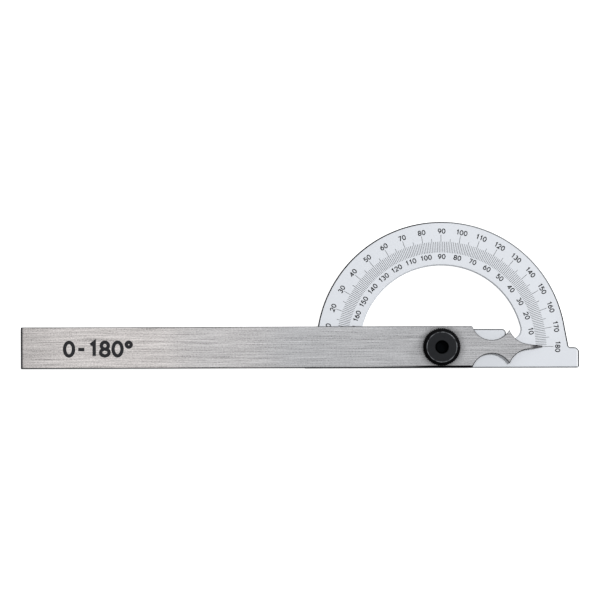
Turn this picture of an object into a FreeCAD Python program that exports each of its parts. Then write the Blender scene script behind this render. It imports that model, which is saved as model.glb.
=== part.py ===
"""Goniometer for the workshop: a flat steel protractor blade, a long pointer arm and a knurled clamp nut.

The blade lies flat on the XY plane with its graduated face up and its straight base along X.
The origin is on the pivot axis, in the plane of the blade's back, and +Z points out of the scale.
The arm lies on the blade in its closed position: its edge lies along the base and it reads 180.
All sizes are millimetres, and each piece is exported to its own STEP file.
"""

import FreeCAD
import Part
import math
import os
import Sketcher

# Driving dimensions: (alias, value, what it sizes).
DIMENSIONS = [
    ("arc_diameter", 120, "outer diameter of the graduated arc"),
    ("band_width", 21, "width of the graduated band"),
    ("blade_thickness", 1.5, "sheet the blade is cut from"),
    ("foot_reach", 6.12, "how far each foot stands out past the arc"),
    ("foot_height", 9.9, "height of each foot above the base edge"),
    ("foot_radius", 2.5, "upper outer corner of a foot"),
    ("heel_land", 0.3, "radius left on the lower corner of a foot inside its chamfer"),
    ("flare_angle", 10.7, "where the arc runs out into a straight flare, in degrees"),
    ("flare_root_radius", 1.0, "inner corner between flare and foot"),
    ("bar_height", 13.9, "height of the base bar above the base edge"),
    ("tab_height", 18.8, "height of the hub tab above the base edge"),
    ("tab_gap", 7.75, "window left open between each end of the tab and the arc"),
    ("tab_radius", 2.2, "upper corners of the hub tab"),
    ("tab_root_radius", 0.8, "corner where the hub tab meets the bar"),
    ("window_radius", 4.5, "corner where the window's arc meets the bar"),
    ("blade_edge", 0.6, "chamfer round the blade's graduated face"),
    ("blade_lower_edge", 0.3, "chamfer round the blade's back"),
    ("arm_length", 201.6, "pivot to the arm's square end"),
    ("arm_width", 20, "width of the bar the arm is cut from"),
    ("base_proud", 0.2, "how far the base edge stands out past the arm's edge"),
    ("arm_thickness", 1.5, "thickness of that bar"),
    ("arm_edge", 0.3, "chamfer that breaks the arm's edges"),
    ("arm_corner_radius", 0.4, "corners of the arm's square end"),
    ("tip_inset", 11.5, "how far the pointer's tip stops short of the arc's rim"),
    ("barb_setback", 15.8, "tip of the pointer back to its two barbs"),
    ("barb_width", 16.1, "width over the barbs"),
    ("neck_setback", 24.3, "tip of the pointer back to the narrowest part of the neck"),
    ("neck_width", 6.4, "width of the neck between the two notches"),
    ("taper_length", 7, "length of the ground, tapering tip"),
    ("taper_width", 2.4, "width where the taper starts"),
    ("tip_flat", 0.04, "flat left on the tip between its broken edges"),
    ("tip_thickness", 0.35, "thickness of the tip, after grinding"),
    ("slide_gap", 0.05, "free play between blade and arm"),
    ("thread_diameter", 5, "nominal thread of the pivot stud"),
    ("thread_pitch", 0.8, "pitch of that thread"),
    ("thread_depth", 0.4, "depth of the thread's grooves"),
    ("thread_play", 0.06, "play between nut and thread"),
    ("shoulder_step", 0.5, "how far the stud's bearing shoulder stands out past the thread"),
    ("shoulder_fit", 0.05, "radial play of the arm on the shoulder"),
    ("shoulder_drop", 0.2, "how far the shoulder stops below the arm's face"),
    ("head_flare", 1.2, "how far the stud's countersunk head flares out past the shoulder"),
    ("stake_spread", 0.35, "how far the stud's spread end, which keeps the nut on, stands out"),
    ("stake_height", 0.6, "thickness of the spread end"),
    ("spring_outer", 11, "outer diameter of the curved spring washer"),
    ("spring_thickness", 0.5, "strip the spring washer is pressed from"),
    ("spring_bow", 0.2, "how far it is still bowed when clamped"),
    ("washer_outer", 12, "outer diameter of the flat washer"),
    ("washer_thickness", 1, "thickness of the flat washer"),
    ("washer_play", 0.15, "radial play of both washers on the thread"),
    ("washer_edge", 0.15, "broken edge of the flat washer"),
    ("nut_diameter", 18.1, "outer diameter of the knurled nut"),
    ("nut_height", 7, "height of the nut"),
    ("nut_chamfer", 1.85, "chamfer round the nut's top"),
    ("nut_lower_chamfer", 0.5, "chamfer round the nut's lower edge"),
    ("boss_diameter", 12, "raised face under the nut"),
    ("boss_height", 0.8, "height of that face"),
    ("nut_web", 2.7, "thickness of the threaded web between boss and counterbore"),
    ("well_play", 0.25, "radial play of the stud's spread end in the counterbore"),
    ("well_edge", 0.3, "chamfer round the counterbore"),
    ("nut_travel", 1.2, "how far the nut rises before the stake stops it"),
    ("knurl_teeth", 56, "teeth of the straight knurl"),
    ("knurl_depth", 0.38, "depth of the knurl"),
]

# Heights and sizes that follow from the driving ones.
ARC_RADIUS = "(dims.arc_diameter / 2)"
WINDOW_ARC = f"({ARC_RADIUS} - dims.band_width)"
HALF_BASE = f"({ARC_RADIUS} + dims.foot_reach)"
BASE_EDGE = "(-dims.arm_width / 2 - dims.base_proud)"
HEEL_RADIUS = "(dims.blade_edge + dims.heel_land)"
FOOT_TOP = f"({BASE_EDGE} + dims.foot_height)"
BAR_TOP = f"({BASE_EDGE} + dims.bar_height)"
TAB_TOP = f"({BASE_EDGE} + dims.tab_height)"
ARM_BACK = "(dims.blade_thickness + dims.slide_gap)"
ARM_FACE = f"({ARM_BACK} + dims.arm_thickness)"
WASHER_BACK = f"({ARM_FACE} + dims.spring_bow + dims.spring_thickness)"
NUT_BACK = f"({WASHER_BACK} + dims.washer_thickness)"
STAKE_BACK = f"({NUT_BACK} + dims.nut_web + dims.nut_travel + dims.thread_play)"
STUD_END = f"({STAKE_BACK} + dims.stake_height)"
STUD_SHOULDER = f"({ARM_FACE} - dims.shoulder_drop)"
THREAD_RADIUS = "(dims.thread_diameter / 2)"
SHOULDER_RADIUS = f"({THREAD_RADIUS} + dims.shoulder_step)"
HEAD_RADIUS = f"({SHOULDER_RADIUS} + dims.head_flare)"
STAKE_RADIUS = f"({THREAD_RADIUS} + dims.stake_spread)"
ARM_HOLE = f"({SHOULDER_RADIUS} + dims.shoulder_fit)"
WASHER_BORE = f"({THREAD_RADIUS} + dims.washer_play)"
NUT_BORE = f"({THREAD_RADIUS} + dims.thread_play)"
WELL_RADIUS = f"({STAKE_RADIUS} + dims.well_play)"
POINTER_REACH = f"({ARC_RADIUS} - dims.tip_inset)"

NEAR = 1e-4
FULL_TURN = 360
OVERCUT = 1.0

doc = FreeCAD.newDocument("goniometer")


def fill_sheet():
    """Writes the driving dimensions to the spreadsheet that every feature reads."""
    sheet = doc.addObject("Spreadsheet::Sheet", "dims")
    for row, (alias, value, meaning) in enumerate(DIMENSIONS, start=1):
        sheet.set(f"A{row}", meaning)
        sheet.set(f"B{row}", str(value))
        sheet.setAlias(f"B{row}", alias)
    doc.recompute()
    return sheet


dims = fill_sheet()


def value(expression):
    """The number that an expression on the sheet gives."""
    return float(dims.evalExpression(expression.replace("dims.", "")))


def origin_feature(body, role):
    """One of a body's own origin planes or axes."""
    return next(f for f in body.Origin.OriginFeatures if f.Role == role)


def new_body(label):
    body = doc.addObject("PartDesign::Body", label)
    body.Label = label
    return body


def new_sketch(body, name, plane, height=None):
    """A sketch on one of the body's origin planes, raised to a height if one is given."""
    sketch = body.newObject("Sketcher::SketchObject", name)
    sketch.AttachmentSupport = (origin_feature(body, plane), [""])
    sketch.MapMode = "FlatFace"
    if height is not None:
        sketch.setExpression("AttachmentOffset.Base.z", height)
    return sketch


def bind(sketch, kind, where, name, expression):
    """Adds one dimensional constraint and ties it to an expression."""
    index = sketch.addConstraint(Sketcher.Constraint(kind, *where, value(expression)))
    sketch.renameConstraint(index, name)
    sketch.setExpression(f"Constraints.{name}", expression)


def draw_circle(sketch, name, radius):
    """A circle about the sketch's origin."""
    circle = Part.Circle(FreeCAD.Vector(), FreeCAD.Vector(0, 0, 1), value(radius))
    index = sketch.addGeometry(circle)
    sketch.addConstraint(Sketcher.Constraint("Coincident", index, 3, -1, 1))
    bind(sketch, "Radius", (index,), name, radius)


def draw_outline(sketch, name, corners):
    """A closed outline from (x, y) expressions, with every corner tied to the sheet.

    A corner (x, y, centre_x, centre_y, radius) starts an arc about that centre, under half a turn.
    """
    points = [FreeCAD.Vector(value(c[0]), value(c[1])) for c in corners]
    ends = []
    for here, there, corner in zip(points, points[1:] + points[:1], corners):
        if len(corner) == 2:
            index = sketch.addGeometry(Part.LineSegment(here, there))
            ends.append((index, 1, 2))
            continue
        centre = FreeCAD.Vector(value(corner[2]), value(corner[3]))
        start, end = here - centre, there - centre
        counter = start.cross(end).z > 0
        turn = [math.atan2(arm.y, arm.x) for arm in (start, end)]
        circle = Part.Circle(centre, FreeCAD.Vector(0, 0, 1), start.Length)
        arc = Part.ArcOfCircle(circle, *(turn if counter else reversed(turn)))
        index = sketch.addGeometry(arc)
        ends.append((index, 1, 2) if counter else (index, 2, 1))
    for i, corner in enumerate(corners):
        index, start, end = ends[i]
        follower, its_start, _ = ends[(i + 1) % len(ends)]
        sketch.addConstraint(
            Sketcher.Constraint("Coincident", index, end, follower, its_start)
        )
    for i, corner in enumerate(corners):
        index, start, _ = ends[i]
        bind(sketch, "DistanceX", (-1, 1, index, start), f"{name}_x{i}", corner[0])
        bind(sketch, "DistanceY", (-1, 1, index, start), f"{name}_y{i}", corner[1])
        if len(corner) > 2:
            bind(sketch, "Radius", (index,), f"{name}_r{i}", corner[4])


def pad(body, name, sketch, length):
    feature = body.newObject("PartDesign::Pad", name)
    feature.Profile = sketch
    feature.setExpression("Length", length)
    doc.recompute()
    return feature


def revolve(body, name, sketch, kind="PartDesign::Revolution"):
    """A full turn of the sketch about the body's Z axis, added or cut away."""
    feature = body.newObject(kind, name)
    feature.Profile = sketch
    feature.ReferenceAxis = (origin_feature(body, "Z_Axis"), [""])
    feature.Angle = FULL_TURN
    doc.recompute()
    return feature


def edges_where(feature, wanted):
    """Names of the feature's edges for which wanted(edge) is true."""
    named = enumerate(feature.Shape.Edges, start=1)
    return [f"Edge{number}" for number, edge in named if wanted(edge)]


def dress(body, name, kind, feature, wanted, size):
    """Fillets or chamfers the edges that wanted() picks."""
    dressed = body.newObject(f"PartDesign::{kind}", name)
    dressed.Base = (feature, edges_where(feature, wanted))
    dressed.setExpression("Radius" if kind == "Fillet" else "Size", size)
    doc.recompute()
    return dressed


def middle(edge):
    return edge.valueAt((edge.FirstParameter + edge.LastParameter) / 2)


def upright_at(*corners):
    """Picks the upright edges over the given (x, y) expressions, on both sides of the Y axis."""
    places = [(value(x), value(y)) for x, y in corners]

    def wanted(edge):
        box, at = edge.BoundBox, middle(edge)
        upright = box.XLength < NEAR and box.YLength < NEAR and box.ZLength > NEAR
        return upright and any(
            math.hypot(abs(at.x) - abs(x), at.y - y) < NEAR for x, y in places
        )

    return wanted


def rim_at(z, radius):
    """Picks the round edge of that radius about the pivot axis at height z."""

    def wanted(edge):
        box = edge.BoundBox
        flat = box.ZLength < NEAR and abs(box.ZMin - z) < NEAR
        return flat and abs(box.XLength - 2 * radius) < NEAR and abs(box.XMax - radius) < NEAR

    return wanted


def on_level(z, hole):
    """Picks the edges that lie flat at height z, except the rim of a hole of that radius."""

    def wanted(edge):
        box = edge.BoundBox
        flat = box.ZLength < NEAR and abs(box.ZMin - z) < NEAR
        round_hole = abs(box.XMax + box.XMin) < NEAR and box.XLength < 2 * hole + NEAR
        return flat and not round_hole

    return wanted


def lift(piece, height):
    """Sets a piece at its height over the blade's back."""
    piece.setExpression("Placement.Base.z", height)


def make_blade():
    """The protractor blade: graduated band, base bar with feet, and hub tab round the pivot."""
    body = new_body("protractor_blade")
    flare = "dims.flare_angle * 1 deg"
    run_x, run_y = f"{ARC_RADIUS} * cos({flare})", f"{ARC_RADIUS} * sin({flare})"
    root_x = f"{run_x} + ({run_y} - {FOOT_TOP}) * tan({flare})"
    outline = new_sketch(body, "blade_outline", "XY_Plane")
    draw_outline(
        outline,
        "rim",
        [
            (f"-{HALF_BASE}", BASE_EDGE),
            (HALF_BASE, BASE_EDGE),
            (HALF_BASE, FOOT_TOP),
            (root_x, FOOT_TOP),
            (run_x, run_y, "0", "0", ARC_RADIUS),
            (f"-({run_x})", run_y),
            (f"-({root_x})", FOOT_TOP),
            (f"-{HALF_BASE}", FOOT_TOP),
        ],
    )
    window_x = f"sqrt({WINDOW_ARC} ^ 2 - {BAR_TOP} ^ 2)"
    half_tab = f"({window_x} - dims.tab_gap)"
    draw_outline(
        outline,
        "window",
        [
            (window_x, BAR_TOP, "0", "0", WINDOW_ARC),
            (f"-({window_x})", BAR_TOP),
            (f"-{half_tab}", BAR_TOP),
            (f"-{half_tab}", TAB_TOP),
            (half_tab, TAB_TOP),
            (half_tab, BAR_TOP),
        ],
    )
    draw_circle(outline, "pivot_hole", SHOULDER_RADIUS)
    sheet = pad(body, "blade_sheet", outline, "dims.blade_thickness")
    corners = [
        ("foot_corners", (HALF_BASE, FOOT_TOP), "dims.foot_radius"),
        ("heel_corners", (HALF_BASE, BASE_EDGE), HEEL_RADIUS),
        ("flare_roots", (root_x, FOOT_TOP), "dims.flare_root_radius"),
        ("tab_corners", (half_tab, TAB_TOP), "dims.tab_radius"),
        ("tab_roots", (half_tab, BAR_TOP), "dims.tab_root_radius"),
        ("window_corners", (window_x, BAR_TOP), "dims.window_radius"),
    ]
    for name, corner, radius in corners:
        sheet = dress(body, name, "Fillet", sheet, upright_at(corner), radius)
    hole = rim_at(0.0, value(SHOULDER_RADIUS))
    sheet = dress(body, "countersink", "Chamfer", sheet, hole, "dims.head_flare")
    head = value(HEAD_RADIUS)
    for name, z, size in (
        ("upper_edges", value("dims.blade_thickness"), "dims.blade_edge"),
        ("lower_edges", 0.0, "dims.blade_lower_edge"),
    ):
        sheet = dress(body, name, "Chamfer", sheet, on_level(z, head), size)
    return body


def make_arm():
    """The arm: a flat bar that narrows to a neck, two barbs and a tapering tip on its centre line."""
    body = new_body("pointer_arm")
    half_width = "dims.arm_width / 2"
    half_neck, half_barb = "dims.neck_width / 2", "dims.barb_width / 2"
    half_taper, half_tip = "dims.taper_width / 2", "(dims.tip_flat / 2 + dims.arm_edge)"
    neck_x = f"({POINTER_REACH} - dims.neck_setback)"
    barb_x = f"({POINTER_REACH} - dims.barb_setback)"
    barb_run = "(dims.neck_setback - dims.barb_setback)"
    notch_y = (
        f"(({barb_run} ^ 2 + ({half_barb}) ^ 2 - ({half_neck}) ^ 2)"
        f" / (dims.barb_width - dims.neck_width))"
    )
    notch_radius = f"({notch_y} - {half_neck})"
    notch_x = f"({neck_x} - sqrt({notch_radius} ^ 2 - ({notch_y} - {half_width}) ^ 2))"
    taper_x = f"({POINTER_REACH} - dims.taper_length)"
    slope = f"atan(({half_taper} - {half_tip}) / dims.taper_length)"
    across = "(dims.barb_setback - dims.taper_length)"
    rise = f"({half_barb} - {half_taper})"
    flank_radius = (
        f"(({across} ^ 2 + {rise} ^ 2)"
        f" / (2 * ({rise} * cos({slope}) - {across} * sin({slope}))))"
    )
    flank_x = f"({taper_x} + {flank_radius} * sin({slope}))"
    flank_y = f"({half_taper} + {flank_radius} * cos({slope}))"
    upper = [
        ("-dims.arm_length", half_width),
        (notch_x, half_width, neck_x, notch_y, notch_radius),
        (barb_x, half_barb, flank_x, flank_y, flank_radius),
        (taper_x, half_taper),
        (POINTER_REACH, half_tip),
    ]
    lower = [
        (POINTER_REACH, f"-{half_tip}"),
        (taper_x, f"-({half_taper})", flank_x, f"-{flank_y}", flank_radius),
        (barb_x, f"-({half_barb})", neck_x, f"-{notch_y}", notch_radius),
        (notch_x, f"-({half_width})"),
        ("-dims.arm_length", f"-({half_width})"),
    ]
    outline = new_sketch(body, "arm_outline", "XY_Plane")
    draw_outline(outline, "bar", upper + lower)
    draw_circle(outline, "pivot_hole", ARM_HOLE)
    bar = pad(body, "arm_bar", outline, "dims.arm_thickness")
    end = ("dims.arm_length", half_width), ("dims.arm_length", f"-({half_width})")
    bar = dress(
        body, "end_corners", "Fillet", bar, upright_at(*end), "dims.arm_corner_radius"
    )
    hole = value(ARM_HOLE)
    for name, z in (("upper_edges", value("dims.arm_thickness")), ("lower_edges", 0.0)):
        bar = dress(body, name, "Chamfer", bar, on_level(z, hole), "dims.arm_edge")
    grind = new_sketch(body, "grind_profile", "XZ_Plane")
    face = "dims.arm_thickness"
    past = f"({POINTER_REACH} + {OVERCUT})"
    fall = f"(({face} - dims.tip_thickness) / dims.taper_length)"
    draw_outline(
        grind,
        "grind",
        [
            (taper_x, face),
            (past, f"{face} - {fall} * (dims.taper_length + {OVERCUT})"),
            (past, f"{face} + {OVERCUT}"),
            (taper_x, f"{face} + {OVERCUT}"),
        ],
    )
    ground = body.newObject("PartDesign::Pocket", "ground_tip")
    ground.Profile = grind
    ground.Midplane = True
    ground.setExpression("Length", "dims.arm_width")
    doc.recompute()
    lift(body, ARM_BACK)
    return body


def make_stud():
    """The pivot stud: flush countersunk head, plain shoulder, thread and a spread end."""
    body = new_body("pivot_stud")
    profile = new_sketch(body, "stud_profile", "XZ_Plane")
    draw_outline(
        profile,
        "stud",
        [
            ("0", "0"),
            (HEAD_RADIUS, "0"),
            (SHOULDER_RADIUS, "dims.head_flare"),
            (SHOULDER_RADIUS, STUD_SHOULDER),
            (THREAD_RADIUS, STUD_SHOULDER),
            (THREAD_RADIUS, STAKE_BACK),
            (STAKE_RADIUS, STAKE_BACK),
            (STAKE_RADIUS, f"({STUD_END} - dims.stake_height / 2)"),
            (f"({STAKE_RADIUS} - dims.stake_height / 2)", STUD_END),
            ("0", STUD_END),
        ],
    )
    revolve(body, "stud_turned", profile)
    groove = new_sketch(body, "thread_groove", "XZ_Plane")
    root = f"({THREAD_RADIUS} - dims.thread_depth)"
    crest = f"({THREAD_RADIUS} + dims.thread_play / 2)"
    low = f"({STUD_SHOULDER} + dims.thread_pitch)"
    half_pitch = "dims.thread_pitch / 2"
    draw_outline(
        groove,
        "groove",
        [
            (root, low),
            (crest, f"{low} - {half_pitch} * 0.9"),
            (crest, f"{low} + {half_pitch} * 0.9"),
        ],
    )
    turned = revolve(body, "first_groove", groove, "PartDesign::Groove")
    turns = f"(floor(({STAKE_BACK} - {STUD_SHOULDER}) / dims.thread_pitch) - 1)"
    pattern = body.newObject("PartDesign::LinearPattern", "thread_grooves")
    pattern.Originals = [turned]
    pattern.Direction = (origin_feature(body, "Z_Axis"), [""])
    pattern.setExpression("Length", f"dims.thread_pitch * ({turns} - 1)")
    pattern.setExpression("Occurrences", turns)
    body.Tip = pattern
    doc.recompute()
    return body


def make_spring_washer():
    """The curved spring washer: a ring cut from a shallow cylindrical shell, crown up."""
    outer = "dims.spring_outer / 2"
    bend = f"((({outer}) ^ 2 + dims.spring_bow ^ 2) / (2 * dims.spring_bow))"

    def cylinder(name, radius, height):
        solid = doc.addObject("Part::Cylinder", name)
        solid.setExpression("Radius", radius)
        solid.setExpression("Height", height)
        return solid

    ring = cylinder("spring_blank", outer, "dims.spring_outer")
    bore = cylinder("spring_bore", WASHER_BORE, "dims.spring_outer")
    skins = [
        cylinder("spring_upper_skin", f"{bend} + dims.spring_thickness", "dims.spring_outer"),
        cylinder("spring_lower_skin", bend, "dims.spring_outer"),
    ]
    for solid in (ring, bore):
        lift(solid, f"{ARM_FACE} - dims.spring_outer / 2")
    for skin in skins:
        skin.Placement.Rotation = FreeCAD.Rotation(FreeCAD.Vector(1, 0, 0), 90)
        skin.setExpression("Placement.Base.y", outer)
        skin.setExpression("Placement.Base.z", f"{ARM_FACE} - ({bend} - dims.spring_bow)")
    flat = doc.addObject("Part::Cut", "spring_ring")
    flat.Base, flat.Tool = ring, bore
    shell = doc.addObject("Part::Cut", "spring_shell")
    shell.Base, shell.Tool = skins
    washer = doc.addObject("Part::Common", "spring_washer")
    washer.Base, washer.Tool = flat, shell
    washer.Label = "spring_washer"
    doc.recompute()
    return washer


def make_flat_washer():
    """The flat washer under the nut."""
    body = new_body("flat_washer")
    ring = new_sketch(body, "washer_ring", "XY_Plane")
    draw_circle(ring, "outside", "dims.washer_outer / 2")
    draw_circle(ring, "bore", WASHER_BORE)
    disc = pad(body, "washer_disc", ring, "dims.washer_thickness")
    for name, z in (("upper_edge", value("dims.washer_thickness")), ("lower_edge", 0.0)):
        rim = rim_at(z, value("dims.washer_outer / 2"))
        disc = dress(body, name, "Chamfer", disc, rim, "dims.washer_edge")
    lift(body, WASHER_BACK)
    return body


def make_nut():
    """The clamp nut: a knurled disc with a raised face below and a deep counterbore on top."""
    body = new_body("knurled_nut")
    rim, boss = "dims.nut_diameter / 2", "dims.boss_diameter / 2"
    profile = new_sketch(body, "nut_profile", "XZ_Plane")
    draw_outline(
        profile,
        "nut",
        [
            (NUT_BORE, "0"),
            (boss, "0"),
            (boss, "dims.boss_height"),
            (f"({rim} - dims.nut_lower_chamfer)", "dims.boss_height"),
            (rim, "(dims.boss_height + dims.nut_lower_chamfer)"),
            (rim, "(dims.nut_height - dims.nut_chamfer)"),
            (f"({rim} - dims.nut_chamfer)", "dims.nut_height"),
            (f"({WELL_RADIUS} + dims.well_edge)", "dims.nut_height"),
            (WELL_RADIUS, "(dims.nut_height - dims.well_edge)"),
            (WELL_RADIUS, "dims.nut_web"),
            (NUT_BORE, "dims.nut_web"),
        ],
    )
    revolve(body, "nut_turned", profile)
    tooth = new_sketch(body, "knurl_tooth", "XY_Plane")
    flank = "(dims.knurl_depth + dims.thread_play)"
    draw_outline(
        tooth,
        "tooth",
        [
            (f"({rim} - dims.knurl_depth)", "0"),
            (f"({rim} + dims.thread_play)", f"-{flank}"),
            (f"({rim} + dims.thread_play)", flank),
        ],
    )
    cut = body.newObject("PartDesign::Pocket", "knurl_groove")
    cut.Profile = tooth
    cut.Reversed = True
    cut.setExpression("Length", "dims.nut_height")
    doc.recompute()
    knurl = body.newObject("PartDesign::PolarPattern", "knurl")
    knurl.Originals = [cut]
    knurl.Axis = (origin_feature(body, "Z_Axis"), [""])
    knurl.Angle = FULL_TURN
    knurl.setExpression("Occurrences", "dims.knurl_teeth")
    body.Tip = knurl
    lift(body, NUT_BACK)
    doc.recompute()
    return body


def check(pieces):
    """Stops if any object failed, or if a piece has no valid solid."""
    for item in doc.Objects:
        if {"Invalid", "Error"} & set(item.State):
            raise RuntimeError(f"{item.Name} failed: {item.State}")
    for piece in pieces:
        if piece.Shape.isNull() or not piece.Shape.isValid() or not piece.Shape.Solids:
            raise RuntimeError(f"{piece.Label} has no valid solid")


def export(pieces):
    """Writes one STEP file for each piece and prints its volume."""
    os.makedirs("parts", exist_ok=True)
    for piece in pieces:
        piece.Shape.exportStep(f"parts/{piece.Label}.step")
        print(f"{piece.Label}: {piece.Shape.Volume:.1f} mm3")


pieces = [
    make_blade(),
    make_arm(),
    make_stud(),
    make_spring_washer(),
    make_flat_washer(),
    make_nut(),
]
doc.recompute()
check(pieces)
export(pieces)
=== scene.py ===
import math

import bmesh
import bpy
from mathutils import Matrix, Vector


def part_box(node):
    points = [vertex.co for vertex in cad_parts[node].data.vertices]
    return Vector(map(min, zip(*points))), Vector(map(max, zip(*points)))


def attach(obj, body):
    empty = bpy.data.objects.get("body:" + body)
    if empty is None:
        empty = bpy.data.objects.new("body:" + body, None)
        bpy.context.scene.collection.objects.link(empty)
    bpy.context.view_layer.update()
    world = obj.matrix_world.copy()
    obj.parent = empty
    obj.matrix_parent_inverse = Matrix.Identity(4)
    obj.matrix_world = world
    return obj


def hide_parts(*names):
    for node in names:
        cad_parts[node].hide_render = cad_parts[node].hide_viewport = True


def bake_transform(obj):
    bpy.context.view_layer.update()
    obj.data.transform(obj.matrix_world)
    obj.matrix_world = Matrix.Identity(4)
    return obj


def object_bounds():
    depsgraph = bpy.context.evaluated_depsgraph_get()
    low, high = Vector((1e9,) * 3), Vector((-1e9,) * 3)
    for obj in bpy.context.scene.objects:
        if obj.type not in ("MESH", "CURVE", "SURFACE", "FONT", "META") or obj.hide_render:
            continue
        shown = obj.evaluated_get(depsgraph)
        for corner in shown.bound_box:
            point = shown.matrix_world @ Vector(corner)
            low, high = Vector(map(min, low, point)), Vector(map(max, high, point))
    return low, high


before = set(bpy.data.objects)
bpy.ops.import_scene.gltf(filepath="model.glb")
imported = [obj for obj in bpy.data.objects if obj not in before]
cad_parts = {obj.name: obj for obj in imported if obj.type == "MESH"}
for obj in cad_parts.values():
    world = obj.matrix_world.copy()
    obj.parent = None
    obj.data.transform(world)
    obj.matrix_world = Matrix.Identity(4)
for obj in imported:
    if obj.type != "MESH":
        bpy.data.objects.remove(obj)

cad_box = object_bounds()
MM = 0.001

# The protractor blade: 1.5 mm steel sheet cut to a half-circle band on a straight base, ground,
# then satin chrome plated. Painted shade darkens the plating round the hub and towards the
# base, most of the cut edges are darker than the faces, and the arm has rubbed faint arcs about
# the pivot. The outer edges that face the light are painted lighter, and a painted highlight runs
# just inside the outer edge of each foot.

blade_low, blade_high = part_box("protractor_blade")
BLADE_FACE = blade_high.z
ARC_RADIUS = blade_high.y

# Where the blade's looks change: each pair is the start and the end of a smooth change.
BASE_EDGE = blade_low.y + 0.8 * MM, blade_low.y + 0.6 * MM
OUTER_RIM = ARC_RADIUS - 2 * MM, ARC_RADIUS - 1 * MM
WINDOW_RIM = 33 * MM, 34 * MM
RUBBED_FROM = 5 * MM, 9 * MM
# Painted shade: the next two spans darken the plating round the hub and towards the base.
SHADED_HUB = 46 * MM, 22 * MM
SHADED_BASE = 8 * MM, -2 * MM
# Painted highlight: a bright line just inside the outer edge of each foot.
HIGHLIT_ENDS = blade_high.x - 1.25 * MM, blade_high.x - 1.0 * MM


class Value:
    """A socket in a material's node tree. Arithmetic on it adds Math nodes to that tree."""

    def __init__(self, tree, socket):
        self.tree = tree
        self.socket = socket

    def node(self, kind, settings=None, sockets=None, result=0):
        """Adds a node: its settings come first, then the values or links of its sockets."""
        node = self.tree.nodes.new("ShaderNode" + kind)
        for name, setting in (settings or {}).items():
            setattr(node, name, setting)
        for name, given in (sockets or {}).items():
            if isinstance(given, Value):
                self.tree.links.new(given.socket, node.inputs[name])
            else:
                node.inputs[name].default_value = given
        return Value(self.tree, node.outputs[result])

    def math(self, operation, *values):
        return self.node("Math", {"operation": operation}, dict(enumerate(values)))

    def __add__(self, other):
        return self.math("ADD", self, other)

    def __sub__(self, other):
        return self.math("SUBTRACT", self, other)

    def __rsub__(self, other):
        return self.math("SUBTRACT", other, self)

    def __mul__(self, other):
        return self.math("MULTIPLY", self, other)

    def __abs__(self):
        return self.math("ABSOLUTE", self)

    __radd__ = __add__
    __rmul__ = __mul__

    def band(self, start, end):
        """0 below start, 1 above end and smooth between them; start may be the larger."""
        settings = {"interpolation_type": "SMOOTHSTEP"}
        low, high = sorted((start, end))
        rise = self.node("MapRange", settings, {"Value": self, "From Min": low, "From Max": high})
        return rise if start < end else 1 - rise

    def joined(self, other):
        """Both this mask and another one, without passing 1 where they overlap."""
        return self + (1 - self) * other

    def parts(self):
        """The X, Y and Z of this vector."""
        outputs = self.node("SeparateXYZ", None, {0: self}).socket.node.outputs
        return [Value(self.tree, outputs[axis]) for axis in range(3)]

    def stretched(self, x, y, z):
        """This place, multiplied along each axis: the bigger the number, the finer what follows."""
        settings = {"operation": "MULTIPLY"}
        return self.node("VectorMath", settings, {0: self, 1: (x, y, z)})

    def noise(self, detail=2.0, rough=0.5):
        sockets = {"Vector": self, "Scale": 1.0, "Detail": detail, "Roughness": rough}
        return self.node("TexNoise", None, sockets)

    def rings(self, fineness):
        """Noise that changes with this one number only; with a radius it makes rings."""
        return self.node("TexNoise", {"noise_dimensions": "1D"}, {"W": self * fineness})

    def blend(self, first, second):
        """first where this is 0 and second where it is 1; both are colours."""
        settings = {"data_type": "RGBA"}
        return self.node("Mix", settings, {0: self, 6: first, 7: second}, result=2)

    def tint(self, colour):
        """That colour, times this number."""
        settings = {"data_type": "RGBA", "blend_type": "MULTIPLY"}
        grey = self.node("CombineColor", None, {0: self, 1: self, 2: self})
        return self.node("Mix", settings, {0: 1.0, 6: colour, 7: grey}, result=2)


class Finish:
    """A new material: the constants sit on its shader's own sockets, and paint() links the rest."""

    def __init__(self, name, **constants):
        self.material = bpy.data.materials.new(name)
        self.material.use_nodes = True
        tree = self.material.node_tree
        self.shader = tree.nodes["Principled BSDF"]
        for socket, constant in constants.items():
            self.shader.inputs[socket.replace("_", " ")].default_value = constant
        where = tree.nodes.new("ShaderNodeTexCoord")
        self.place = Value(tree, where.outputs["Object"])
        self.x, self.y, self.z = self.place.parts()
        self.out_x, self.out_y, self.up = Value(tree, where.outputs["Normal"]).parts()
        squares = self.x * self.x + self.y * self.y
        self.radius = squares.math("SQRT", squares)

    def paint(self, bump=None, depth=0.02 * MM, **links):
        """Links the sockets that change over the surface; bump is a height from 0 to 1."""
        for socket, value in links.items():
            target = self.shader.inputs[socket.replace("_", " ")]
            self.place.tree.links.new(value.socket, target)
        if bump:
            sockets = {"Height": bump, "Strength": 1.0, "Distance": depth}
            relief = bump.node("Bump", None, sockets)
            self.place.tree.links.new(relief.socket, self.shader.inputs["Normal"])
        return self.material


def dress(node, material):
    """Gives a CAD node its material."""
    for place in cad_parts[node].material_slots:
        place.material = material


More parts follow.
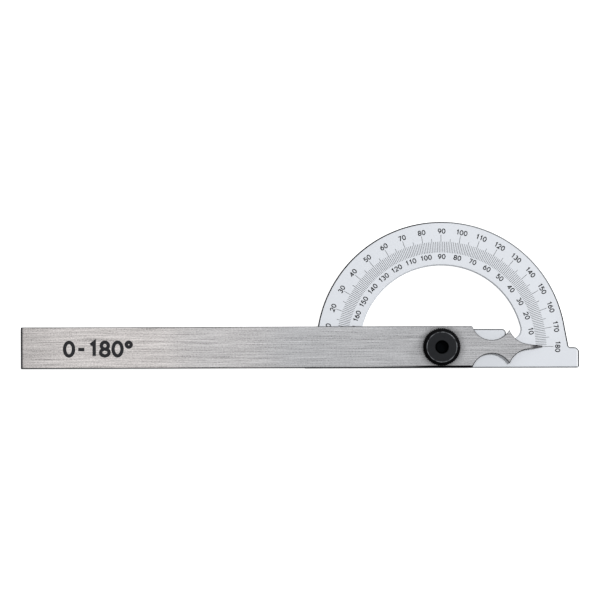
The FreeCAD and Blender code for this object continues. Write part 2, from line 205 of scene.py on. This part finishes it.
chrome = Finish("satin_chrome", Metallic=0.15, IOR=1.3)
edge = abs(chrome.up).band(0.93, 0.80)
working_edge = chrome.y.band(*BASE_EDGE)
outer_rim = chrome.radius.band(*OUTER_RIM)
# Painted light and shade: outer edges that face the upper right, towards the light, are painted
# lighter, and the rest of the outer rim near black.
upper_right_lit_rim = (0.5 * chrome.out_x + 0.866 * chrome.out_y).band(0.50, 0.68)
satin = chrome.place.stretched(900, 2600, 900).noise(detail=3.0, rough=0.6)
cloud = chrome.place.stretched(35, 35, 35).noise(detail=2.0)
swept = chrome.radius.rings(5200).band(0.62, 0.74) * chrome.radius.band(*RUBBED_FROM)
# Painted shade: the plating is painted darker round the hub and a little towards the base.
blade_painted_shade = 0.08 * chrome.radius.band(*SHADED_HUB) + 0.03 * chrome.y.band(*SHADED_BASE)
face_tone = (0.97 + 0.05 * satin + 0.03 * cloud) * (1 - blade_painted_shade)
face_colour = face_tone.tint((0.475, 0.49, 0.515, 1))
# Painted highlight: a bright line is painted just inside the outer edge of each foot; the rubbed
# arcs are real wear.
painted_end_highlight = abs(chrome.x).band(*HIGHLIT_ENDS)
worn_and_highlit_colour = (swept * 0.18).blend(face_colour, (0.39, 0.40, 0.42, 1))
worn_and_highlit_colour = painted_end_highlight.blend(worn_and_highlit_colour, (0.62, 0.63, 0.65, 1))
rim_colour = upper_right_lit_rim.blend((0.012, 0.013, 0.014, 1), (0.11, 0.115, 0.12, 1))
window_rim = chrome.radius.band(*WINDOW_RIM)
inner_colour = window_rim.blend((0.10, 0.104, 0.108, 1), (0.44, 0.455, 0.48, 1))
edge_colour = outer_rim.blend(inner_colour, rim_colour)
edge_colour = working_edge.blend(edge_colour, (0.22, 0.23, 0.245, 1))
dress(
    "protractor_blade",
    chrome.paint(
        Base_Color=edge.blend(worn_and_highlit_colour, edge_colour),
        Roughness=0.36 + 0.10 * satin + 0.05 * cloud - 0.04 * swept + 0.25 * edge,
        bump=satin + 0.3 * swept,
        depth=0.004 * MM,
    ),
)

# The scale: two rings of numerals and one ring of graduations, etched a few hundredths of a
# millimetre deep into the chrome and filled with black ink. Every mark is a separate closed
# sliver of ink, a hair proud of the plating; the numerals stand a little towards the 180 end.

INK_RISE = 0.012 * MM
INK_SINK = 0.02 * MM
INK_LAYER = 0.002 * MM
MARK_WIDTH = 0.20 * MM
MARK_START = 45.25 * MM
MARK_ENDS = {10: 53.8 * MM, 5: 51.9 * MM, 1: 50.45 * MM}
NUMERAL_HEIGHT = 2.55 * MM
NUMERAL_STROKE = 0.47 * MM
OUTER_NUMERALS = 55.5 * MM
INNER_NUMERALS = 43.3 * MM
NUMERAL_GAP = 0.62 * MM
NUMERAL_SHIFT = Matrix.Translation((0.35 * MM, 0, 0))

ink = Finish("scale_ink", IOR=1.25)
soak = ink.place.stretched(2500, 2500, 2500).noise(detail=2.0)
ink_finish = ink.paint(
    Base_Color=(0.7 + 0.6 * soak).tint((0.010, 0.0105, 0.012, 1)),
    Roughness=0.45 + 0.25 * soak,
    bump=soak,
    depth=0.005 * MM,
)


def arc(x, y, rx, ry, start, end, steps=10):
    """Points on an arc about (x, y), from one angle to the other in degrees."""
    angles = [math.radians(start + (end - start) * i / steps) for i in range(steps + 1)]
    return [(x + rx * math.cos(a), y + ry * math.sin(a)) for a in angles]


# Each character as its strokes, on a grid whose height is 1, with its width.
CHARACTERS = {
    "0": (0.66, [arc(0.33, 0.50, 0.33, 0.50, 90, 450, 20)]),
    "1": (0.56, [[(0.12, 0.80), (0.38, 1.0), (0.38, 0.0)]]),
    "2": (0.62, [arc(0.31, 0.70, 0.29, 0.30, 170, -35) + [(0.0, 0.0), (0.62, 0.0)]]),
    "3": (0.60, [arc(0.29, 0.75, 0.26, 0.25, 150, -90), arc(0.29, 0.26, 0.30, 0.26, 90, -150)]),
    "4": (0.66, [[(0.50, 0.0), (0.50, 1.0)], [(0.50, 1.0), (0.0, 0.27), (0.66, 0.27)]]),
    "5": (
        0.60,
        [[(0.56, 1.0), (0.12, 1.0), (0.07, 0.56)] + arc(0.29, 0.32, 0.31, 0.32, 125, -150)],
    ),
    "6": (
        0.62,
        [arc(0.62, 0.32, 0.62, 0.68, 105, 180, 8), arc(0.31, 0.31, 0.31, 0.31, 180, 540, 16)],
    ),
    "7": (0.60, [[(0.0, 1.0), (0.60, 1.0), (0.20, 0.0)]]),
    "8": (
        0.62,
        [arc(0.31, 0.75, 0.26, 0.25, -90, 270, 16), arc(0.31, 0.25, 0.31, 0.25, 90, 450, 16)],
    ),
    "9": (
        0.62,
        [arc(0.0, 0.68, 0.62, 0.68, -75, 0, 8), arc(0.31, 0.69, 0.31, 0.31, 0, 360, 16)],
    ),
    "-": (0.55, [[(0.05, 0.47), (0.50, 0.47)]]),
    "°": (0.40, [arc(0.20, 0.82, 0.18, 0.18, 90, 450, 16)]),
}


def stroke_sides(points, width):
    """Left and right sides of a flat stroke of even width that follows the points."""
    route = [Vector(point) for point in points]
    closed = (route[0] - route[-1]).length < width * 1e-3
    if closed:
        route.pop()
    left, right = [], []
    for i, here in enumerate(route):
        before = route[i - 1] if closed or i else here
        after = route[(i + 1) % len(route)] if closed or i + 1 < len(route) else here
        inward = (here - before).normalized() if before != here else (after - here).normalized()
        outward = (after - here).normalized() if after != here else inward
        across = (inward + outward).normalized().orthogonal()
        across *= width / 2 / max(0.4, across.dot(inward.orthogonal()))
        left.append(here + across)
        right.append(here - across)
    return left, right, closed


def add_stroke(bm, points, width, low, high, move):
    """Adds one closed sliver of ink between two heights, carried to its place by a matrix."""
    left, right, closed = stroke_sides(points, width)
    rings = []
    for a, b in zip(left, right):
        corners = ((*a, low), (*a, high), (*b, high), (*b, low))
        rings.append([bm.verts.new(move @ Vector(corner)) for corner in corners])
    follow = zip(rings, rings[1:] + rings[:1]) if closed else zip(rings, rings[1:])
    for ring, following in follow:
        for i in range(4):
            j = (i + 1) % 4
            bm.faces.new((ring[i], following[i], following[j], ring[j]))
    if not closed:
        bm.faces.new(rings[0])
        bm.faces.new(reversed(rings[-1]))


def add_text(bm, text, height, stroke, gap, low, high, move):
    """Adds a line of characters, centred on the origin of the matrix that places it."""
    grid = height - stroke
    pen = -(sum(CHARACTERS[c][0] * grid for c in text) + gap * (len(text) - 1)) / 2
    for character in text:
        width, strokes = CHARACTERS[character]
        for layer, points in enumerate(strokes):
            placed = [(pen + x * grid, (y - 0.5) * grid) for x, y in points]
            add_stroke(bm, placed, stroke, low, high + layer * INK_LAYER, move)
        pen += width * grid + gap


def ink_piece(name, bm, body):
    """Turns a finished mesh into a piece of ink that rides on a body."""
    bmesh.ops.recalc_face_normals(bm, faces=bm.faces)
    mesh = bpy.data.meshes.new(name)
    bm.to_mesh(mesh)
    bm.free()
    mesh.materials.append(ink_finish)
    piece = bpy.data.objects.new(name, mesh)
    bpy.context.collection.objects.link(piece)
    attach(piece, body)


def at_reading(degrees, radius=0.0):
    """A place on the scale: local Y points outwards, and X the way the readings rise."""
    turn = Matrix.Rotation(math.radians(90 - degrees), 4, "Z")
    return turn @ Matrix.Translation((0, radius, 0))


marks = bmesh.new()
ink_low, ink_high = BLADE_FACE - INK_SINK, BLADE_FACE + INK_RISE
for degrees in range(181):
    step = next(s for s in MARK_ENDS if degrees % s == 0)
    line = [(0, MARK_START), (0, MARK_ENDS[step])]
    add_stroke(marks, line, MARK_WIDTH, ink_low, ink_high, at_reading(degrees))
ink_piece("scale_graduations", marks, "blade")

for name, radius, reading in (
    ("outer_numerals", OUTER_NUMERALS, lambda degrees: degrees),
    ("inner_numerals", INNER_NUMERALS, lambda degrees: 180 - degrees),
):
    numerals = bmesh.new()
    for degrees in range(0, 181, 10):
        text = str(reading(degrees))
        place = NUMERAL_SHIFT @ at_reading(degrees, radius)
        add_text(
            numerals, text, NUMERAL_HEIGHT, NUMERAL_STROKE, NUMERAL_GAP, ink_low, ink_high, place
        )
    ink_piece(name, numerals, "blade")

# The pointer arm: 20 by 1.5 mm stainless bar, brushed along its length, its tip ground thin and
# left dark. Painted shade darkens the lower edge, the square end and thin strips of the face
# beside them, the last few centimetres of the square end and a ring round the nut, and a painted
# shadow lies along the edge beneath the nut. Towards the square end the steel is warmer in hue
# and painted lighter, and a printed range mark stands near the square end.

arm_low, arm_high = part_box("pointer_arm")
ARM_FACE = arm_high.z
ARM_END = arm_low.x
ARM_EDGE = arm_low.y

# Where the arm's looks change: each pair is the start and the end of a smooth change.
GROUND_TIP = arm_high.x - 6.4 * MM, arm_high.x - 3.8 * MM
NUT_SHADE_RING = 12.8 * MM, 9.0 * MM
WARM_AND_LIT_FROM = -68 * MM, -98 * MM
WARMER_AND_LIT_FROM = -112 * MM, -142 * MM
SHADED_SQUARE_END = ARM_END + 32 * MM, ARM_END + 2 * MM
SHADED_END_EDGES = ARM_END + 17 * MM, ARM_END + 9 * MM
SHADE_ACROSS_END = ARM_END + 0.86 * MM, ARM_END + 0.66 * MM
SHADE_FADE = ARM_END + 1.5 * MM, ARM_END + 0.9 * MM
SHADE_ALONG_EDGE = ARM_EDGE + 0.62 * MM, ARM_EDGE + 0.46 * MM
NUT_SHADOW_LEFT, NUT_SHADOW_RIGHT = (-40 * MM, -5 * MM), (17 * MM, 15 * MM)
NUT_SHADOW_ALONG_EDGE = ARM_EDGE + 1.3 * MM, ARM_EDGE + 0.85 * MM
DEEP_SHADOW_LEFT, DEEP_SHADOW_RIGHT = (-17 * MM, -7 * MM), (15.5 * MM, 13.5 * MM)

steel = Finish("brushed_steel", Metallic=1.0, IOR=2.5)
edge = abs(steel.up).band(0.93, 0.80)
hair = steel.place.stretched(110, 7000, 400).noise(detail=2.0, rough=0.6).band(0.30, 0.70)
streak = steel.place.stretched(40, 5000, 300).noise(detail=1.0).band(0.32, 0.68)
drift = steel.place.stretched(14, 3600, 100).noise(detail=1.0).band(0.30, 0.70)
fleck = steel.place.stretched(1300, 2600, 300).noise(detail=0.0).band(0.30, 0.70)
scratch = steel.place.stretched(40, 4200, 300).noise(detail=0.0).band(0.66, 0.76)
grain = 0.22 * hair + 0.36 * streak + 0.20 * drift + 0.22 * fleck
# Towards the square end the steel is warmer in hue and painted lighter: the hue is its tone, the
# lightening is painted light.
warmth_and_painted_light = 0.45 * steel.x.band(*WARM_AND_LIT_FROM) + 0.55 * steel.x.band(*WARMER_AND_LIT_FROM)
contrast = 1.10 + 0.42 * warmth_and_painted_light
tone = 1.0 + contrast * (grain - 0.5) - 0.20 * scratch
# Painted shade: the arm is painted darker in a ring round the nut.
tone = tone * (1 - 0.28 * steel.radius.band(*NUT_SHADE_RING))
# Painted shade: the last few centimetres towards the square end are painted darker.
tone = tone * (1 - 0.18 * steel.x.band(*SHADED_SQUARE_END))
face_colour = tone.tint(warmth_and_painted_light.blend((0.350, 0.350, 0.357, 1), (0.434, 0.411, 0.401, 1)))
bare_colour = tone.tint((0.07, 0.07, 0.075, 1))
face_colour = steel.x.band(*GROUND_TIP).blend(face_colour, bare_colour)
# Painted shade: edges facing -Y, away from the light, and the edges by the square end are painted
# near black; the rest a lighter grey.
shaded_edges = steel.out_y.band(0.35, -0.15).joined(steel.x.band(*SHADED_END_EDGES))
edge_colour = shaded_edges.blend((0.16, 0.16, 0.165, 1), (0.015, 0.015, 0.017, 1))
# Painted shadow of the nut: a wider dark strip along the lower edge beside the nut.
nut_shadow_span = steel.x.band(*NUT_SHADOW_LEFT) * steel.x.band(*NUT_SHADOW_RIGHT)
# Painted shade: dark strips on the face along the square end and the lower edge.
shade_strips = steel.x.band(*SHADE_ACROSS_END).joined(steel.y.band(*SHADE_ALONG_EDGE))
shade_strips = shade_strips.joined(0.35 * steel.x.band(*SHADE_FADE))
shade_strips = shade_strips.joined(nut_shadow_span * steel.y.band(*NUT_SHADOW_ALONG_EDGE))
# Painted shadow: beneath the nut the edge strips are painted black.
nut_deep_shadow = steel.x.band(*DEEP_SHADOW_LEFT) * steel.x.band(*DEEP_SHADOW_RIGHT)
strip_shade_colour = nut_deep_shadow.blend(edge_colour, (0.001, 0.001, 0.0015, 1))
dress(
    "pointer_arm",
    steel.paint(
        Base_Color=edge.blend(shade_strips.blend(face_colour, strip_shade_colour), edge_colour),
        Roughness=0.24 + 0.14 * grain + 0.08 * scratch + 0.10 * edge,
        bump=grain - 0.5 * scratch,
        depth=0.008 * MM,
    ),
)

RANGE_MARK = "0-180°"
RANGE_MARK_HEIGHT = 8.2 * MM
RANGE_MARK_STROKE = 1.65 * MM
RANGE_MARK_GAP = 1.9 * MM
RANGE_MARK_PLACE = Matrix.Translation((ARM_END + 37 * MM, -0.5 * MM, 0))

range_mark = bmesh.new()
add_text(
    range_mark,
    RANGE_MARK,
    RANGE_MARK_HEIGHT,
    RANGE_MARK_STROKE,
    RANGE_MARK_GAP,
    ARM_FACE - INK_SINK,
    ARM_FACE + INK_RISE,
    RANGE_MARK_PLACE,
)
ink_piece("range_mark", range_mark, "arm")

# The pivot stud: a turned steel stud whose countersunk head is staked into the blade's back and
# ground flush and bright with it. The rest is blackened like the nut that runs on it, and the
# end is peened over so that the nut can't come off.

STUD_BACK = 0.3 * MM, 0.05 * MM

stud = Finish("stud_steel", IOR=1.06)
lathe = stud.radius.rings(9000)
peened = stud.place.stretched(2200, 2200, 2200).noise(detail=2.0)
back = stud.z.band(*STUD_BACK)
stud_tone = 0.7 + 0.4 * lathe + 0.3 * peened
black_colour = stud_tone.tint((0.0006, 0.0009, 0.0012, 1))
bright_colour = stud_tone.tint((0.50, 0.50, 0.51, 1))
dress(
    "pivot_stud",
    stud.paint(
        Base_Color=back.blend(black_colour, bright_colour),
        Metallic=back,
        Roughness=0.38 + 0.2 * peened,
        bump=lathe + peened,
        depth=0.01 * MM,
    ),
)

# The spring washer: a flat ring of 0.5 mm spring steel pressed into a shallow curve, which
# bears on the arm at two sides and on the flat washer along its crown. It is built as two
# fixed halves, each curved from its foot up to the crown.

spring_low, spring_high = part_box("spring_washer")
SPRING_RADIUS = spring_high.y
SPRING_THICKNESS = 0.5 * MM
SPRING_BOW = spring_high.z - spring_low.z - SPRING_THICKNESS
SPRING_BORE = 2.65 * MM
SPRING_EDGE = 0.08 * MM
SPRING_STEPS = 36

sprung = Finish("spring_steel", Metallic=1.0, IOR=2.5)
temper = sprung.place.stretched(700, 700, 700).noise(detail=3.0)
blue = temper.band(0.45, 0.75)
sprung_finish = sprung.paint(
    Base_Color=blue.blend((0.24, 0.23, 0.22, 1), (0.13, 0.14, 0.18, 1)),
    Roughness=0.30 + 0.25 * temper,
    bump=temper,
    depth=0.006 * MM,
)
section = [
    (SPRING_BORE + SPRING_EDGE, 0.0),
    (SPRING_RADIUS - SPRING_EDGE, 0.0),
    (SPRING_RADIUS, SPRING_EDGE),
    (SPRING_RADIUS, SPRING_THICKNESS - SPRING_EDGE),
    (SPRING_RADIUS - SPRING_EDGE, SPRING_THICKNESS),
    (SPRING_BORE + SPRING_EDGE, SPRING_THICKNESS),
    (SPRING_BORE, SPRING_THICKNESS - SPRING_EDGE),
    (SPRING_BORE, SPRING_EDGE),
]
for name, side in (("spring_washer_right", 1), ("spring_washer_left", -1)):
    half = bmesh.new()
    rings = []
    for step in range(SPRING_STEPS + 1):
        angle = math.pi * (step / SPRING_STEPS - 0.5)
        ring = []
        for radius, height in section:
            x, y = side * radius * math.cos(angle), radius * math.sin(angle)
            bow = SPRING_BOW * (1 - (x / SPRING_RADIUS) ** 2)
            ring.append(half.verts.new((x, y, spring_low.z + bow + height)))
        rings.append(ring)
    for ring, following in zip(rings, rings[1:]):
        for i in range(len(section)):
            j = (i + 1) % len(section)
            half.faces.new((ring[i], following[i], following[j], ring[j])).smooth = True
    half.faces.new(rings[0])
    half.faces.new(reversed(rings[-1]))
    bmesh.ops.recalc_face_normals(half, faces=half.faces)
    half_mesh = bpy.data.meshes.new(name)
    half.to_mesh(half_mesh)
    half.free()
    half_mesh.materials.append(sprung_finish)
    half_piece = bpy.data.objects.new(name, half_mesh)
    bpy.context.collection.objects.link(half_piece)
    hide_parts("spring_washer")
    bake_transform(half_piece)

# The flat washer: a stamped ring of mild steel, zinc plated and passivated, which keeps the
# turning nut from dragging on the spring washer.

zinc = Finish("zinc_plate", Metallic=1.0, IOR=2.5)
spangle = zinc.place.stretched(1500, 1500, 1500).noise(detail=3.0)
rolled = zinc.place.stretched(200, 3500, 200).noise(detail=2.0)
dress(
    "flat_washer",
    zinc.paint(
        Base_Color=(0.85 + 0.3 * spangle).tint((0.42, 0.42, 0.44, 1)),
        Roughness=0.28 + 0.25 * rolled + 0.1 * spangle,
        bump=rolled,
        depth=0.008 * MM,
    ),
)

# The knurled nut: turned from steel bar, straight knurled, chamfered and blackened with hot
# oxide. The face keeps its turning marks, the black has rubbed a little off the crests of the
# knurl, and the corner between face and chamfer carries a painted highlight ring, drawn as the
# black rubbed through to bright steel.

nut_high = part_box("knurled_nut")[1]
NUT_RADIUS = nut_high.x
NUT_FACE = nut_high.z
CORNER_RADIUS = NUT_RADIUS - 1.85 * MM

# Where the nut's looks change: each pair is the start and the end of a smooth change.
TURNED_FACE = NUT_FACE - 0.35 * MM, NUT_FACE - 0.12 * MM
CORNER_INSIDE = CORNER_RADIUS - 0.28 * MM, CORNER_RADIUS - 0.08 * MM
CORNER_OUTSIDE = CORNER_RADIUS + 0.22 * MM, CORNER_RADIUS + 0.06 * MM
CRESTS = NUT_RADIUS - 0.10 * MM, NUT_RADIUS - 0.02 * MM
FACE_LIMIT = CORNER_RADIUS + 0.12 * MM, CORNER_RADIUS - 0.05 * MM
COUNTERBORE = 3.1 * MM, 3.4 * MM

black = Finish("black_oxide", IOR=1.125)
turned = black.radius.rings(7000)
patch = black.place.stretched(420, 420, 420).noise(detail=3.0, rough=0.6)
speck = black.place.stretched(3000, 3000, 3000).noise(detail=1.0)
on_top = black.z.band(*TURNED_FACE)
corner = black.radius.band(*CORNER_INSIDE) * black.radius.band(*CORNER_OUTSIDE) * on_top
crest = black.radius.band(*CRESTS)
# The corner ring is a painted highlight, drawn as bright steel where the black has rubbed through;
# the crests are real rub.
rubbed_and_highlit = 0.62 * corner * patch.band(0.30, 0.62) + 0.08 * crest * patch.band(0.5, 0.7)
face_tone = 0.55 + 0.30 * turned + 0.3 * patch + 0.45 * speck
on_face = black.radius.band(*FACE_LIMIT) * black.radius.band(*COUNTERBORE) * on_top
oxide = on_face.blend((0.0008, 0.0008, 0.0010, 1), (0.0106, 0.0112, 0.0124, 1))
dress(
    "knurled_nut",
    black.paint(
        Base_Color=(0.75 * rubbed_and_highlit).blend(face_tone.tint(oxide), (0.33, 0.34, 0.36, 1)),
        Roughness=0.36 + 0.2 * patch + 0.1 * speck,
        Metallic=0.8 * rubbed_and_highlit,
        bump=0.5 * turned + 0.4 * speck,
        depth=0.02 * MM,
    ),
)

# The surroundings: a white sweep that glows faintly under the object, a broad soft panel
# overhead, a small strong key from beyond the scale's 180 end, and a camera that looks straight
# down on the scale.

FLOOR_DROP = 0.05 * MM
FLOOR_REACH = 3.0
FLOOR_GLOW = 0.85
SKY_LIGHT = 0.32
ZENITH_LIGHT = 0.05
NORTH_LIGHT = 0.45

floor_z = cad_box[0][2] - FLOOR_DROP
sides = ((-1, -1), (1, -1), (1, 1), (-1, 1))
floor_corners = [(FLOOR_REACH * x, FLOOR_REACH * y, floor_z) for x, y in sides]
floor_mesh = bpy.data.meshes.new("floor")
floor_mesh.from_pydata(floor_corners, [], [(0, 1, 2, 3)])
floor = bpy.data.objects.new("floor", floor_mesh)
bpy.context.collection.objects.link(floor)
paper = Finish("white_sweep", Roughness=0.9, IOR=1.2, Emission_Strength=FLOOR_GLOW)
paper.shader.inputs["Emission Color"].default_value = (1, 1, 1, 1)
fibre = paper.place.stretched(60, 60, 60).noise(detail=4.0)
paper_colour = (0.98 + 0.03 * fibre).tint((0.40, 0.40, 0.40, 1))
floor_mesh.materials.append(paper.paint(Base_Color=paper_colour))
floor.visible_glossy = False

world = bpy.data.worlds.new("studio")
bpy.context.scene.world = world
world.use_nodes = True
sky = world.node_tree
background = sky.nodes["Background"]
where = Value(sky, sky.nodes.new("ShaderNodeTexCoord").outputs["Generated"])
north, up = where.parts()[1:]
light = SKY_LIGHT + ZENITH_LIGHT * up.band(0.15, 0.75) + NORTH_LIGHT * north.band(0.25, 0.80)
sky.links.new(light.socket, background.inputs["Strength"])
background.inputs["Color"].default_value = (0.95, 0.97, 1.0, 1)


def soft_panel(name, place, aim, width, height, radiance):
    """A rectangular light panel that faces a point; its power follows from its radiance."""
    lamp = bpy.data.lights.new(name, "AREA")
    lamp.shape = "RECTANGLE"
    lamp.size, lamp.size_y = width, height
    lamp.energy = radiance * math.pi * width * height
    panel = bpy.data.objects.new(name, lamp)
    panel.location = place
    panel.rotation_euler = (Vector(aim) - Vector(place)).to_track_quat("-Z", "Y").to_euler()
    bpy.context.collection.objects.link(panel)


soft_panel("overhead_panel", (-0.80, 0.25, 2.3), (-0.80, 0.25, 0), 2.2, 2.2, 1.15)
soft_panel("key_panel", (1.35, 0.80, 1.5), (0, 0, 0), 0.5, 0.5, 80.0)

VIEW_CENTRE = Vector((-67.7 * MM, 22.7 * MM, 0))
VIEW_WIDTH = 287.8 * MM
VIEW_DISTANCE = 2.2
VIEW_ROLL = math.radians(-0.2)

lens = bpy.data.cameras.new("camera")
lens.angle = 2 * math.atan(VIEW_WIDTH / 2 / VIEW_DISTANCE)
lens.clip_start = 0.01
camera = bpy.data.objects.new("camera", lens)
camera.location = VIEW_CENTRE + Vector((0, 0, VIEW_DISTANCE + BLADE_FACE))
camera.rotation_euler.z = VIEW_ROLL
bpy.context.collection.objects.link(camera)
bpy.context.scene.camera = camera

bpy.context.scene.view_settings.view_transform = "Standard"
bpy.context.scene.view_settings.look = "None"
